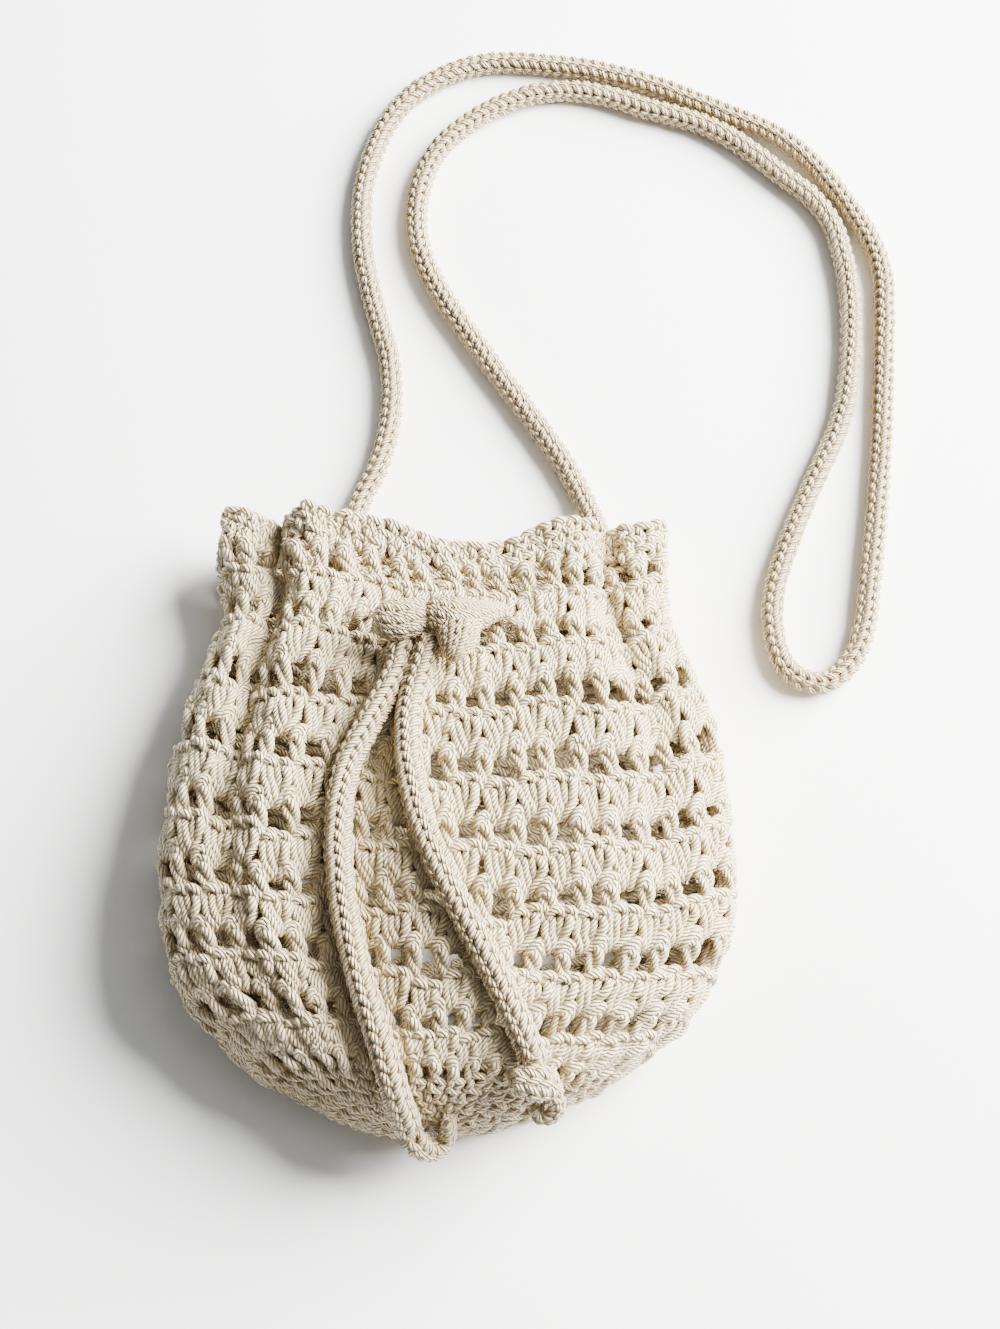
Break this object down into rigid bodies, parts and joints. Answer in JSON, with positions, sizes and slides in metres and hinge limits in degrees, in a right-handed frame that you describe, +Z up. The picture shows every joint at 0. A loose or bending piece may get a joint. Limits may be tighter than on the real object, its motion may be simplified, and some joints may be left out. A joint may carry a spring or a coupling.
{
  "type": "drawstring bag",
  "caption": "Soft crocheted bag, wide at the belly and drawn in at the neck, lying on its back with a tied drawstring, two hanging tails and a long crossbody strap.",
  "frame": {"origin": "under the middle of the bag, on the surface that it lies on", "axes": "+Y from the base to the mouth, +Z up through the front with the tied drawstring, +X to the right of someone who looks at the front with the mouth up"},
  "size_m": [0.2917, 0.4728, 0.066],
  "materials": {
    "bag_yarn": "cream twisted cotton yarn with a soft shine, crocheted in open bands",
    "cord_yarn": "the same cream yarn, crocheted into a round cord"
  },
  "bodies": {
    "root": {"bag_body": "bag_yarn", "drawstring_neck": "cord_yarn", "drawstring_knot": "cord_yarn", "drawstring_tail_left": "cord_yarn", "drawstring_tail_right": "cord_yarn", "tail_end_loop": "cord_yarn", "tail_end_knot": "cord_yarn", "strap": "cord_yarn", "strap_end_left": "cord_yarn", "strap_end_right": "cord_yarn"}
  },
  "joints": []
}
